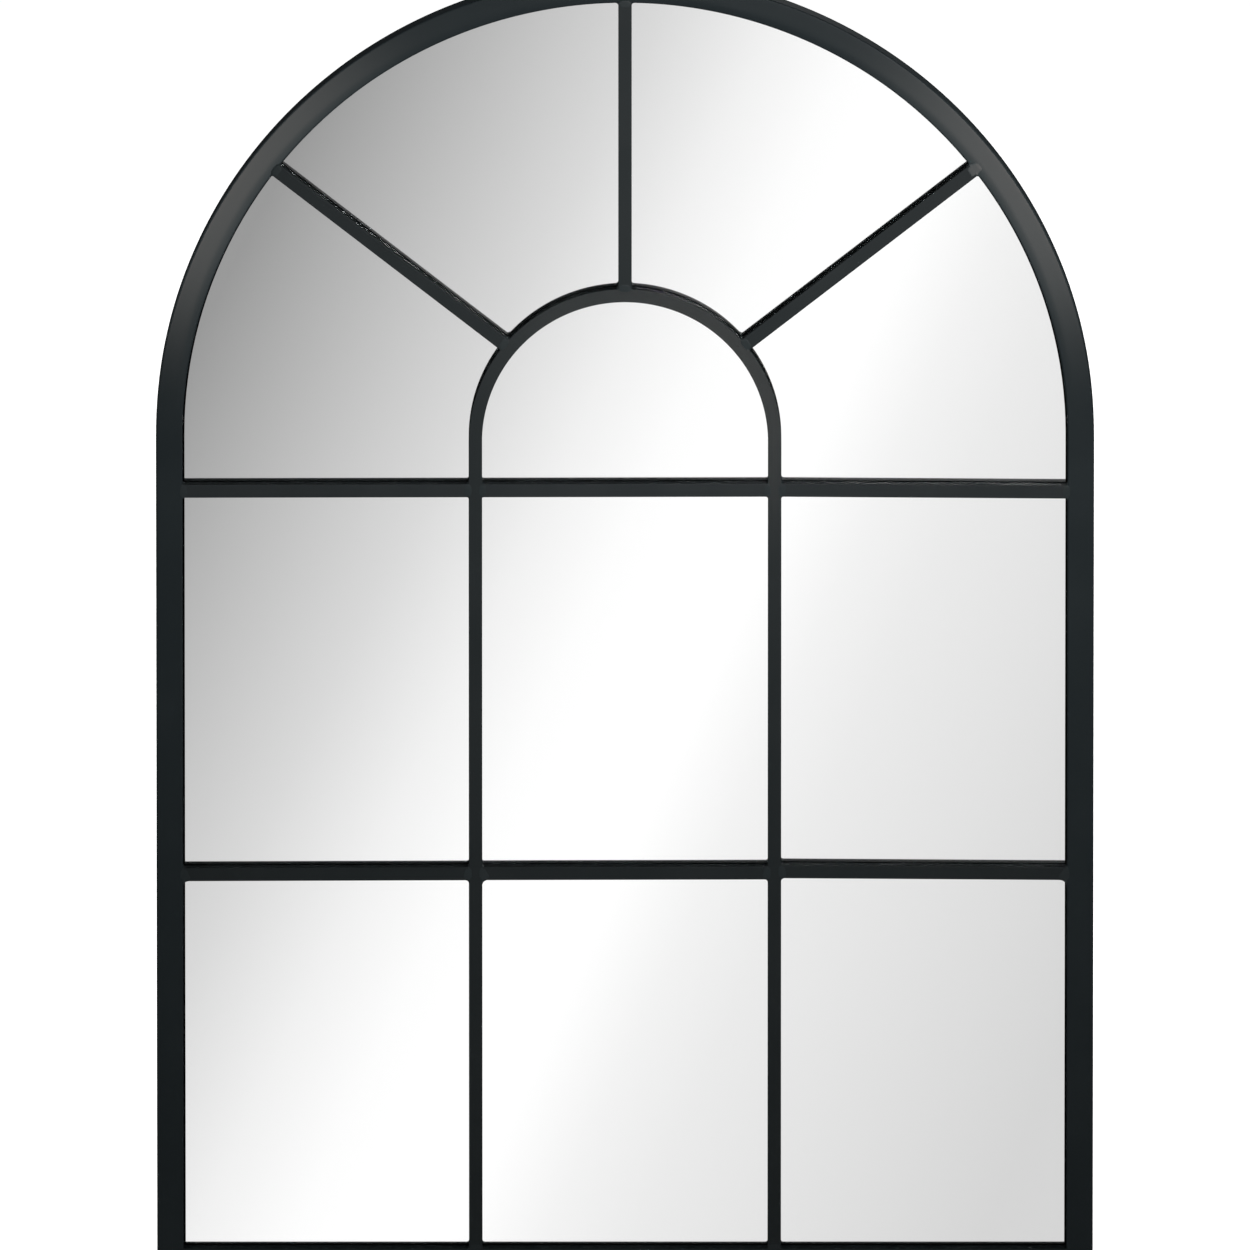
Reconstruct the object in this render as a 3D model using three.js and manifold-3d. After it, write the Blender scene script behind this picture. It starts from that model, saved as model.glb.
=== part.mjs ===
// Arched window mirror: a black steel arch around one sheet of mirror glass, with a small inner
// arch, three spokes and two rows of short bars welded across in front of the glass.
// Millimetres, +Z up, the glass faces -Y. The origin is the centre of the arch on the wall plane,
// midway between the two wall hooks.
import * as THREE from "three";
import { mergeVertices } from "three/addons/utils/BufferGeometryUtils.js";
import Module from "manifold-3d";

const wasm = await Module();
wasm.setup();

// Steel frame
const WIDTH = 700; // over the outer sides of the two legs
const TUBE = 20; // square tube of the legs, arch and bottom rail
const TUBE_WALL = 1.2;
const TUBE_CORNER = 2; // outside corner radius
const BAR = 10; // solid square bar of everything in front of the glass
const BAR_CORNER = 0.8;
const PANE_HEIGHT = 282; // clear height of a rectangular pane
const UPPER_BAR_DROP = 36; // arch's centre down to the top of the upper row of bars
const SMALL_ARCH_DROP = 4; // centre of the small arch below the centre of the large one
const SPOKE_ANGLE = 38; // degrees that a slanting spoke stands above the level
const WELD_GAP = 0.3; // root gap of a welded joint

// Mirror glass and its board
const GLASS = 3;
const BOARD = 5;
const GLASS_PLAY = 1; // room round the glass inside the legs and the arch
const BOARD_PLAY = 0.4; // room round the board there, which closes the slot round the glass
const SEAT = 0.3; // room between two pieces that lie on each other

// Tabs welded inside the back of the frame, each with a screw into the board
const TAB_WIDTH = 18;
const TAB_LENGTH = 22;
const TAB_THICKNESS = 1;
const TAB_CORNER = 5;
const TAB_HOLE_INSET = 14; // frame's inner face to the screw
const LOW_TAB_HEIGHT = 150; // above the underside of the bottom rail
const HIGH_TAB_HEIGHT = 470;
const RAIL_TAB_OFFSET = 170; // either side of the middle
const ARCH_TAB_ANGLE = 48; // degrees above the level
const BOARD_SCREW = { shank: 3, head: 6, headHeight: 2, length: 5.2 };

// Hangers: a folded strap on the back of each leg, with a wire ring that swings in its eye
const STRAP_WIDTH = 12;
const STRAP_LEAF = 1; // sheet thickness, two leaves lie on each other
const STRAP_LENGTH = 14; // ring's axis to the strap's end
const STRAP_CORNER = 4;
const STRAP_HOLE_INSET = 8; // ring's axis to the screw
const EYE_PLAY = 0.35; // room round the wire in the eye
const RING_WIRE = 2.5;
const RING_OPENING = 15; // clear width of the ring
const RING_REACH = 22; // ring's axis to the inside of its bow
const RING_CORNER = 3; // bend radius at the ends of the straight side
const RING_SPLIT = 0.6; // gap between the wire's two ends, inside the eye
const HANGER_SCREW = { shank: 4, head: 7.4, headHeight: 2.2, length: 12 };
const HOLE_PLAY = 0.3; // room round a screw in its hole

// Rubber bumpers that hold the frame off the wall
const BUMPER_DIAMETER = 12;
const BUMPER_HEIGHT = 6; // wall to frame, glue included
const BUMPER_BEVEL = 0.8;
const LOW_BUMPER_HEIGHT = 50; // above the underside of the bottom rail
const ARCH_BUMPER_ANGLE = 52; // degrees above the level

// Facets
const ARCH_STEPS = 48;
const SMALL_ARCH_STEPS = 36;
const ROUND_SIDES = 20;
const CORNER_DIVISIONS = 1; // an arc gets two edges for each division
const WIRE_SIDES = 8;
const WIRE_STEPS = 46;

// Levels that follow from the sizes above
const OUTER = WIDTH / 2; // outer radius of the arch and half the width
const INNER = OUTER - TUBE;
const BAR_ROWS = 2;
const LEG_HEIGHT = TUBE + BAR_ROWS * (PANE_HEIGHT + BAR) + UPPER_BAR_DROP; // foot to arch's centre
const FOOT_Z = -LEG_HEIGHT;
const BACK_Y = -BUMPER_HEIGHT; // back of the steel frame
const FRONT_Y = BACK_Y - TUBE;
const TUBE_Y = (BACK_Y + FRONT_Y) / 2;
const BAR_Y = FRONT_Y + BAR / 2;
const PANE_WIDTH = (2 * INNER - 2 * BAR) / 3;
const SMALL_INNER = PANE_WIDTH / 2;
const SMALL_OUTER = SMALL_INNER + BAR;
const SMALL_CENTRE_Z = -SMALL_ARCH_DROP;
const RAIL_TOP_Z = FOOT_Z + TUBE;
const GLASS_FRONT_Y = FRONT_Y + BAR + SEAT;
const BOARD_FRONT_Y = GLASS_FRONT_Y + GLASS + SEAT;
const BOARD_BACK_Y = BOARD_FRONT_Y + BOARD;
const TAB_FRONT_Y = BOARD_BACK_Y + SEAT;
const LEG_X = OUTER - TUBE / 2; // middle of a leg
const RING_AXIS_Z = -RING_REACH; // so that the swung-up ring hangs on a hook at the origin's height
const EYE = RING_WIRE / 2 + EYE_PLAY; // inner radius of the strap's eye
const STRAP_BACK_Y = BACK_Y + SEAT + 2 * STRAP_LEAF;
const RING_AXIS_Y = BACK_Y + SEAT + STRAP_LEAF + EYE;

const radians = THREE.MathUtils.degToRad;
const mirror = new THREE.Group();

// --- materials --------------------------------------------------------------------------------

function powderCoatedSteel() {
  return new THREE.MeshStandardMaterial({ color: 0x2e3133, roughness: 0.5, metalness: 0.2 });
}

function silveredGlass() {
  return new THREE.MeshStandardMaterial({ color: 0xeef2f3, roughness: 0.02, metalness: 1 });
}

function fibreboard() {
  return new THREE.MeshStandardMaterial({ color: 0x8a6a48, roughness: 0.85, metalness: 0 });
}

function zincPlatedSteel() {
  return new THREE.MeshStandardMaterial({ color: 0xb9bcbe, roughness: 0.35, metalness: 0.9 });
}

function blackRubber() {
  return new THREE.MeshStandardMaterial({ color: 0x1b1b1c, roughness: 0.8, metalness: 0 });
}

// --- shaping ----------------------------------------------------------------------------------

function toSolid(geometry) {
  const bare = geometry.clone();
  bare.deleteAttribute("normal");
  bare.deleteAttribute("uv");
  const merged = mergeVertices(bare);
  const vertProperties = merged.attributes.position.array;
  const triVerts = new Uint32Array(merged.index.array);
  return new wasm.Manifold(new wasm.Mesh({ numProp: 3, vertProperties, triVerts }));
}

function toGeometry(solid) {
  const cut = solid.getMesh();
  const indexed = new THREE.BufferGeometry();
  indexed.setAttribute("position", new THREE.BufferAttribute(cut.vertProperties, 3));
  indexed.setIndex(new THREE.BufferAttribute(cut.triVerts, 1));
  const geometry = indexed.toNonIndexed();
  geometry.computeVertexNormals();
  return geometry;
}

function addPiece(name, geometry, material, parent = mirror) {
  const mesh = new THREE.Mesh(geometry, material);
  mesh.name = name;
  parent.add(mesh);
  return mesh;
}

// Square with rounded corners, centred on 0, traced on a shape or on a hole.
function traceRoundedSquare(path, size, corner) {
  const flat = size / 2 - corner;
  path.moveTo(flat + corner, -flat);
  path.absarc(flat, flat, corner, 0, Math.PI / 2);
  path.absarc(-flat, flat, corner, Math.PI / 2, Math.PI);
  path.absarc(-flat, -flat, corner, Math.PI, 1.5 * Math.PI);
  path.absarc(flat, -flat, corner, 1.5 * Math.PI, 2 * Math.PI);
  return path;
}

function tubeSection() {
  const section = traceRoundedSquare(new THREE.Shape(), TUBE, TUBE_CORNER);
  const boreCorner = Math.max(TUBE_CORNER - TUBE_WALL, 0.1);
  section.holes.push(traceRoundedSquare(new THREE.Path(), TUBE - 2 * TUBE_WALL, boreCorner));
  return section;
}

function barSection() {
  return traceRoundedSquare(new THREE.Shape(), BAR, BAR_CORNER);
}

// A length of tube or bar along X, centred on its own axis, with its middle at 0.
function straightLength(section, length) {
  const options = { depth: length, bevelEnabled: false, curveSegments: CORNER_DIVISIONS };
  const geometry = new THREE.ExtrudeGeometry(section, options);
  return geometry.translate(0, 0, -length / 2).rotateY(Math.PI / 2);
}

// A flat plate: its outline lies in the XZ plane and it is `thickness` deep from y = 0 towards +Y.
function plate(outline, thickness, divisions) {
  const options = { depth: thickness, bevelEnabled: false, curveSegments: divisions };
  const geometry = new THREE.ExtrudeGeometry(outline, options);
  return geometry.rotateX(Math.PI / 2).translate(0, thickness, 0);
}

// A round bar along Y, used as a drill or to trim an end to a curve.
function roundAlongY(radius, length, sides) {
  return new THREE.CylinderGeometry(radius, radius, length, sides);
}

// Centre line that climbs the left leg, goes round the half circle and comes down the right leg.
// It has one station at each foot and the rest evenly round the arc.
class ArchLine extends THREE.Curve {
  constructor(radius, centreZ, footZ, arcSteps) {
    super();
    this.radius = radius;
    this.centreZ = centreZ;
    this.footZ = footZ;
    this.arcSteps = arcSteps;
  }

  get steps() {
    return this.arcSteps + 2;
  }

  arcAngle(t) {
    const turned = (t * this.steps - 1) / this.arcSteps;
    return Math.PI * (1 - THREE.MathUtils.clamp(turned, 0, 1));
  }

  getPoint(t) {
    const angle = this.arcAngle(t);
    const station = t * this.steps;
    const alongLeg = Math.max(1 - station, station - this.steps + 1, 0);
    const springZ = this.centreZ + this.radius * Math.sin(angle);
    const z = THREE.MathUtils.lerp(springZ, this.footZ, alongLeg);
    return new THREE.Vector3(this.radius * Math.cos(angle), 0, z);
  }

  getTangent(t) {
    const angle = this.arcAngle(t);
    return new THREE.Vector3(Math.sin(angle), 0, -Math.cos(angle));
  }

  getTangentAt(u) {
    return this.getTangent(u);
  }

  getSpacedPoints(divisions) {
    return this.getPoints(divisions);
  }
}

function sweepArch(section, line) {
  return new THREE.ExtrudeGeometry(section, {
    steps: line.steps,
    extrudePath: line,
    curveSegments: CORNER_DIVISIONS,
  });
}

// --- outer frame ------------------------------------------------------------------------------

// A wedge along the 45 degree line of a bottom corner. It takes away what lies below that line
// (for the leg) or above it (for the rail), and leaves half the weld's gap on its side.
function mitreWedge(side, takesAbove) {
  const reach = 2 * TUBE;
  const rise = (takesAbove ? -1 : 1) * (WELD_GAP / 2) * Math.SQRT2;
  const cornerX = -OUTER;
  const cornerZ = FOOT_Z + rise;
  const outline = new THREE.Shape();
  outline.moveTo(cornerX - reach, cornerZ - reach);
  if (takesAbove) {
    outline.lineTo(cornerX + reach, cornerZ + reach);
    outline.lineTo(cornerX - reach, cornerZ + reach);
  } else {
    outline.lineTo(cornerX + reach, cornerZ - reach);
    outline.lineTo(cornerX + reach, cornerZ + reach);
  }
  const wedge = plate(outline, 2 * TUBE, 1).translate(0, TUBE_Y - TUBE, 0);
  if (side > 0) {
    wedge.rotateZ(Math.PI).translate(0, 2 * TUBE_Y, 0);
  }
  return toSolid(wedge);
}

function hangerScrewDrill(side) {
  const drill = roundAlongY(HANGER_SCREW.shank / 2 + HOLE_PLAY, TUBE, ROUND_SIDES);
  return toSolid(drill.translate(side * LEG_X, BACK_Y, RING_AXIS_Z - STRAP_HOLE_INSET));
}

// One bent tube: both legs and the arch, mitred at the feet and drilled for the hanger screws.
function outerArchTube() {
  const line = new ArchLine(LEG_X, 0, FOOT_Z, ARCH_STEPS);
  let tube = toSolid(sweepArch(tubeSection(), line).translate(0, TUBE_Y, 0));
  for (const side of [-1, 1]) {
    tube = tube.subtract(mitreWedge(side, false));
    tube = tube.subtract(hangerScrewDrill(side));
  }
  return toGeometry(tube);
}

function bottomRail() {
  const blank = straightLength(tubeSection(), WIDTH).translate(0, TUBE_Y, FOOT_Z + TUBE / 2);
  let rail = toSolid(blank);
  for (const side of [-1, 1]) {
    rail = rail.subtract(mitreWedge(side, true));
  }
  return toGeometry(rail);
}

addPiece("outer_arch_tube", outerArchTube(), powderCoatedSteel());
addPiece("bottom_rail_tube", bottomRail(), powderCoatedSteel());

// --- bars in front of the glass ---------------------------------------------------------------

// The small arch and its legs, which are the two upright bars, are one bent bar.
function innerArchBar() {
  const foot = RAIL_TOP_Z + WELD_GAP;
  const radius = SMALL_INNER + BAR / 2;
  const line = new ArchLine(radius, SMALL_CENTRE_Z, foot, SMALL_ARCH_STEPS);
  return sweepArch(barSection(), line).translate(0, BAR_Y, 0);
}

addPiece("inner_arch_bar", innerArchBar(), powderCoatedSteel());

// Two rows of three short bars, each welded between two uprights.
const sideBarMiddle = SMALL_OUTER + PANE_WIDTH / 2;
const barColumns = { left: -sideBarMiddle, centre: 0, right: sideBarMiddle };
const barRows = { lower: 1, upper: 2 };
for (const [row, panesBelow] of Object.entries(barRows)) {
  const z = RAIL_TOP_Z + panesBelow * PANE_HEIGHT + (panesBelow - 0.5) * BAR;
  for (const [column, x] of Object.entries(barColumns)) {
    const bar = straightLength(barSection(), PANE_WIDTH - 2 * WELD_GAP);
    const mesh = addPiece(`${row}_bar_${column}`, bar, powderCoatedSteel());
    mesh.position.set(x, BAR_Y, z);
  }
}

// A spoke runs out from the large arch's centre. Its inner end is hollowed to sit on the small
// arch and its outer end is rounded to sit inside the large one.
function spoke(angle) {
  const blank = straightLength(barSection(), OUTER).translate(OUTER / 2 + SMALL_INNER / 2, 0, 0);
  blank.rotateY(-angle).translate(0, BAR_Y, 0);
  const smallArch = roundAlongY(SMALL_OUTER + WELD_GAP, 2 * BAR, 2 * SMALL_ARCH_STEPS);
  const largeArch = roundAlongY(INNER - WELD_GAP, 2 * BAR, 2 * ARCH_STEPS);
  const coped = toSolid(blank)
    .subtract(toSolid(smallArch.translate(0, BAR_Y, SMALL_CENTRE_Z)))
    .intersect(toSolid(largeArch.translate(0, BAR_Y, 0)));
  return toGeometry(coped);
}

const spokeAngles = { right: SPOKE_ANGLE, centre: 90, left: 180 - SPOKE_ANGLE };
for (const [name, degrees] of Object.entries(spokeAngles)) {
  addPiece(`spoke_${name}`, spoke(radians(degrees)), powderCoatedSteel());
}

// --- mirror glass and board -------------------------------------------------------------------

// Round-topped outline that stands on the bottom rail and clears the legs and the arch.
function sheetOutline(play) {
  const half = INNER - play;
  const foot = RAIL_TOP_Z + SEAT;
  const outline = new THREE.Shape();
  outline.moveTo(-half, foot);
  outline.lineTo(half, foot);
  outline.lineTo(half, 0);
  outline.absarc(0, 0, half, 0, Math.PI);
  outline.lineTo(-half, foot);
  return outline;
}

const sheet = plate(sheetOutline(GLASS_PLAY), GLASS, ARCH_STEPS / 2);
const glass = addPiece("mirror_glass", sheet, silveredGlass());
glass.position.y = GLASS_FRONT_Y;

// Where each tab meets the frame: the point on the inner face and the way out, in radians.
function tabPlaces() {
  const places = [];
  for (const side of [-1, 1]) {
    const name = side < 0 ? "left" : "right";
    const out = side < 0 ? Math.PI : 0;
    const archAngle = side < 0 ? Math.PI - radians(ARCH_TAB_ANGLE) : radians(ARCH_TAB_ANGLE);
    places.push({ name: `${name}_low`, x: side * INNER, z: FOOT_Z + LOW_TAB_HEIGHT, out });
    places.push({ name: `${name}_high`, x: side * INNER, z: FOOT_Z + HIGH_TAB_HEIGHT, out });
    places.push({ name: `rail_${name}`, x: side * RAIL_TAB_OFFSET, z: RAIL_TOP_Z, out: -Math.PI / 2 });
    places.push(archPlace(`arch_${name}`, archAngle));
  }
  places.push(archPlace("arch_top", Math.PI / 2));
  return places;
}

function archPlace(name, angle) {
  return { name, x: INNER * Math.cos(angle), z: INNER * Math.sin(angle), out: angle, curved: true };
}

function screwPoint(place) {
  const x = place.x - TAB_HOLE_INSET * Math.cos(place.out);
  const z = place.z - TAB_HOLE_INSET * Math.sin(place.out);
  return { x, z };
}

function backingBoard() {
  const blank = plate(sheetOutline(BOARD_PLAY), BOARD, ARCH_STEPS / 2);
  let board = toSolid(blank.translate(0, BOARD_FRONT_Y, 0));
  const depth = BOARD_SCREW.length - TAB_THICKNESS - SEAT;
  for (const place of tabPlaces()) {
    const { x, z } = screwPoint(place);
    const drill = roundAlongY(BOARD_SCREW.shank / 2 + HOLE_PLAY, 2 * depth, ROUND_SIDES);
    board = board.subtract(toSolid(drill.translate(x, BOARD_BACK_Y, z)));
  }
  return toGeometry(board);
}

addPiece("backing_board", backingBoard(), fibreboard());

// --- tabs and their screws --------------------------------------------------------------------

// Tab in its own frame: the frame's inner face is at x = 0 and the tab reaches towards -X.
function fixingTab(curved) {
  const half = TAB_WIDTH / 2;
  const end = -TAB_LENGTH;
  const outline = new THREE.Shape();
  outline.moveTo(-WELD_GAP, -half);
  outline.lineTo(-WELD_GAP, half);
  outline.lineTo(end + TAB_CORNER, half);
  outline.absarc(end + TAB_CORNER, half - TAB_CORNER, TAB_CORNER, Math.PI / 2, Math.PI);
  outline.absarc(end + TAB_CORNER, TAB_CORNER - half, TAB_CORNER, Math.PI, 1.5 * Math.PI);
  outline.lineTo(-WELD_GAP, -half);
  const hole = new THREE.Path();
  hole.absarc(-TAB_HOLE_INSET, 0, BOARD_SCREW.shank / 2 + HOLE_PLAY, 0, 2 * Math.PI);
  outline.holes.push(hole);
  const tab = plate(outline, TAB_THICKNESS, ROUND_SIDES / 4);
  if (!curved) {
    return tab;
  }
  const archInside = roundAlongY(INNER - WELD_GAP, 4 * TAB_THICKNESS, 4 * ARCH_STEPS);
  return toGeometry(toSolid(tab).intersect(toSolid(archInside.translate(-INNER, 0, 0))));
}

// Pan-head screw along Y: the head is behind y = 0 and the shank runs towards -Y.
function panHeadScrew({ shank, head, headHeight, length }) {
  const radius = shank / 2;
  const profile = new THREE.Path();
  profile.moveTo(0, -length);
  profile.lineTo(radius, radius - length);
  profile.lineTo(radius, 0);
  profile.lineTo(head / 2, 0);
  profile.lineTo(head / 2, headHeight / 2);
  profile.lineTo(head * 0.36, headHeight * 0.88);
  profile.lineTo(0, headHeight);
  return new THREE.LatheGeometry(profile.getPoints(), ROUND_SIDES);
}

for (const place of tabPlaces()) {
  const tab = addPiece(`tab_${place.name}`, fixingTab(place.curved), powderCoatedSteel());
  tab.position.set(place.x, TAB_FRONT_Y, place.z);
  tab.rotation.y = -place.out;
  const { x, z } = screwPoint(place);
  const screw = addPiece(`tab_screw_${place.name}`, panHeadScrew(BOARD_SCREW), zincPlatedSteel());
  screw.position.set(x, TAB_FRONT_Y + TAB_THICKNESS + SEAT, z);
}

// --- hangers ----------------------------------------------------------------------------------

// The strap's edge, seen along the ring's axis: u runs off the leg's back, v runs up. The lower
// leaf lies on the leg, the sheet goes round the eye and the upper leaf lies on the lower one.
function strapEdge() {
  const outer = EYE + STRAP_LEAF;
  const bend = 2 * STRAP_LEAF - outer;
  const meet = -Math.sqrt(outer * outer - bend * bend);
  const edge = new THREE.Shape();
  edge.moveTo(0, -STRAP_LENGTH);
  edge.lineTo(0, 0);
  edge.absarc(outer, 0, outer, Math.PI, Math.atan2(meet, bend), true);
  edge.lineTo(2 * STRAP_LEAF, -STRAP_LENGTH);
  edge.lineTo(0, -STRAP_LENGTH);
  const eye = new THREE.Path();
  eye.absarc(outer, 0, EYE, 0, 2 * Math.PI);
  edge.holes.push(eye);
  return edge;
}

// What is left of the strap's plan: its lower end has rounded corners.
function strapPlan() {
  const half = STRAP_WIDTH / 2;
  const top = STRAP_WIDTH;
  const plan = new THREE.Shape();
  plan.moveTo(-half, top);
  plan.lineTo(-half, STRAP_CORNER - STRAP_LENGTH);
  plan.absarc(STRAP_CORNER - half, STRAP_CORNER - STRAP_LENGTH, STRAP_CORNER, Math.PI, 1.5 * Math.PI);
  plan.absarc(half - STRAP_CORNER, STRAP_CORNER - STRAP_LENGTH, STRAP_CORNER, 1.5 * Math.PI, 2 * Math.PI);
  plan.lineTo(half, top);
  plan.lineTo(-half, top);
  return plan;
}

// Strap in the hanger's frame: y = 0 is its own back on the leg and z = 0 is the ring's axis.
function hangerStrap() {
  const options = { depth: STRAP_WIDTH, bevelEnabled: false, curveSegments: ROUND_SIDES / 2 };
  const folded = new THREE.ExtrudeGeometry(strapEdge(), options);
  // the edge's u becomes +Y and its v stays up
  folded.rotateX(Math.PI / 2).rotateZ(Math.PI / 2).translate(-STRAP_WIDTH / 2, 0, 0);
  const plan = plate(strapPlan(), 4 * EYE + 4 * STRAP_LEAF, 3).translate(0, -STRAP_LEAF, 0);
  const drill = roundAlongY(HANGER_SCREW.shank / 2 + HOLE_PLAY, 8 * STRAP_LEAF, ROUND_SIDES);
  const strap = toSolid(folded)
    .intersect(toSolid(plan))
    .subtract(toSolid(drill.translate(0, 0, -STRAP_HOLE_INSET)));
  return toGeometry(strap);
}

// The ring's wire: from the split in the eye along the straight side, round the bow and back.
class RingLine extends THREE.Curve {
  constructor() {
    super();
    const half = (RING_OPENING + RING_WIRE) / 2;
    const bowZ = half - RING_WIRE / 2 - RING_REACH;
    this.path = new THREE.Path();
    this.path.moveTo(RING_SPLIT / 2, 0);
    this.path.absarc(half - RING_CORNER, -RING_CORNER, RING_CORNER, Math.PI / 2, 0, true);
    this.path.absarc(0, bowZ, half, 0, -Math.PI, true);
    this.path.absarc(RING_CORNER - half, -RING_CORNER, RING_CORNER, Math.PI, Math.PI / 2, true);
    this.path.lineTo(-RING_SPLIT / 2, 0);
  }

  getPoint(t) {
    const flat = this.path.getPoint(t);
    return new THREE.Vector3(flat.x, 0, flat.y);
  }
}

// Ring in its hinge's frame: the straight side lies on the X axis and the bow hangs down.
function hangerRing() {
  const wire = new THREE.Shape();
  wire.absarc(0, 0, RING_WIRE / 2, 0, 2 * Math.PI);
  return new THREE.ExtrudeGeometry(wire, {
    steps: WIRE_STEPS,
    extrudePath: new RingLine(),
    curveSegments: WIRE_SIDES / 2,
  });
}

for (const side of [-1, 1]) {
  const name = side < 0 ? "left" : "right";
  const x = side * LEG_X;
  const strap = addPiece(`hanger_strap_${name}`, hangerStrap(), zincPlatedSteel());
  strap.position.set(x, BACK_Y + SEAT, RING_AXIS_Z);
  const screw = addPiece(`hanger_screw_${name}`, panHeadScrew(HANGER_SCREW), zincPlatedSteel());
  screw.position.set(x, STRAP_BACK_Y + SEAT, RING_AXIS_Z - STRAP_HOLE_INSET);
  const hinge = new THREE.Group();
  hinge.position.set(x, RING_AXIS_Y, RING_AXIS_Z);
  addPiece(`hanger_ring_${name}`, hangerRing(), zincPlatedSteel(), hinge);
  mirror.add(hinge);
}

// --- wall bumpers -----------------------------------------------------------------------------

// Turned rubber disc along Y: glued to the frame at y = 0, its flat face meets the wall.
function wallBumper() {
  const height = BUMPER_HEIGHT - SEAT;
  const radius = BUMPER_DIAMETER / 2;
  const profile = new THREE.Path();
  profile.moveTo(0, 0);
  profile.lineTo(radius, 0);
  profile.lineTo(radius, height - BUMPER_BEVEL);
  profile.lineTo(radius - BUMPER_BEVEL, height);
  profile.lineTo(0, height);
  return new THREE.LatheGeometry(profile.getPoints(), ROUND_SIDES);
}

for (const side of [-1, 1]) {
  const name = side < 0 ? "left" : "right";
  const low = addPiece(`bumper_low_${name}`, wallBumper(), blackRubber());
  low.position.set(side * LEG_X, BACK_Y + SEAT, FOOT_Z + LOW_BUMPER_HEIGHT);
  const high = addPiece(`bumper_high_${name}`, wallBumper(), blackRubber());
  const angle = radians(ARCH_BUMPER_ANGLE);
  high.position.set(side * LEG_X * Math.cos(angle), BACK_Y + SEAT, LEG_X * Math.sin(angle));
}

export default mirror;
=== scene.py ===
"""Arched window mirror: black welded steel over one silvered sheet, seen from the front and a
little above. Everything is in metres, with the origin at the centre of the arch on the wall."""

import math

import bmesh
import bpy
from mathutils import Matrix, Vector, noise


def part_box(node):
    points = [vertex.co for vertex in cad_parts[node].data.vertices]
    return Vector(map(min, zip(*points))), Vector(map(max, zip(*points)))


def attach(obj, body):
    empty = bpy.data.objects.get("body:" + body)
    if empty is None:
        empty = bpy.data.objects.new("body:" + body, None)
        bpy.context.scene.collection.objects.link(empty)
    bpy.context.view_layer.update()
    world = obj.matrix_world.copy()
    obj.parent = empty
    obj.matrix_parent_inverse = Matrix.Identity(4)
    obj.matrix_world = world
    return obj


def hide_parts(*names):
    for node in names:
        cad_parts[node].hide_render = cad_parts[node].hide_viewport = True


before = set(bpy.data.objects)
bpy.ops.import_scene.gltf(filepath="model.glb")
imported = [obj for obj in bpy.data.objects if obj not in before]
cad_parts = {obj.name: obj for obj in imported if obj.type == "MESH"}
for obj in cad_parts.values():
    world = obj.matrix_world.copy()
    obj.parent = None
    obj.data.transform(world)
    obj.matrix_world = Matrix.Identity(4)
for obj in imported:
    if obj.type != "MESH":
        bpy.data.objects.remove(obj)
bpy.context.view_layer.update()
MM = 0.001

# --- Camera ------------------------------------------------------------------------------------
# A long lens some way off and a little above the mirror, so that the uprights stay parallel. The
# picture is framed so tightly that the top of the arch and the foot of the frame are cut off.
PHOTO_SIDE = 1250
PHOTO_METRES_PER_PIXEL = 0.7464 * MM
PHOTO_FOOT_PIXEL = 1276
CAMERA_ELEVATION = math.radians(12)
LENS = 1600
SENSOR = 36

tube_low, tube_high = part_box("outer_arch_tube")
foot_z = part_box("bottom_rail_tube")[0].z
front_y = tube_low.y
centre_row = (PHOTO_FOOT_PIXEL - PHOTO_SIDE / 2) * PHOTO_METRES_PER_PIXEL
aim = Vector((0, front_y, foot_z + centre_row / math.cos(CAMERA_ELEVATION)))
camera_distance = PHOTO_SIDE * PHOTO_METRES_PER_PIXEL * LENS / SENSOR
camera_data = bpy.data.cameras.new("camera")
camera_data.lens = LENS
camera_data.sensor_width = SENSOR
camera_data.clip_end = 3 * camera_distance
camera = bpy.data.objects.new("camera", camera_data)
camera.location = aim + camera_distance * Vector(
    (0, -math.cos(CAMERA_ELEVATION), math.sin(CAMERA_ELEVATION))
)
camera.rotation_euler = (math.pi / 2 - CAMERA_ELEVATION, 0, 0)
bpy.context.scene.collection.objects.link(camera)
bpy.context.scene.camera = camera
bpy.context.scene.view_settings.view_transform = "Standard"


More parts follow.
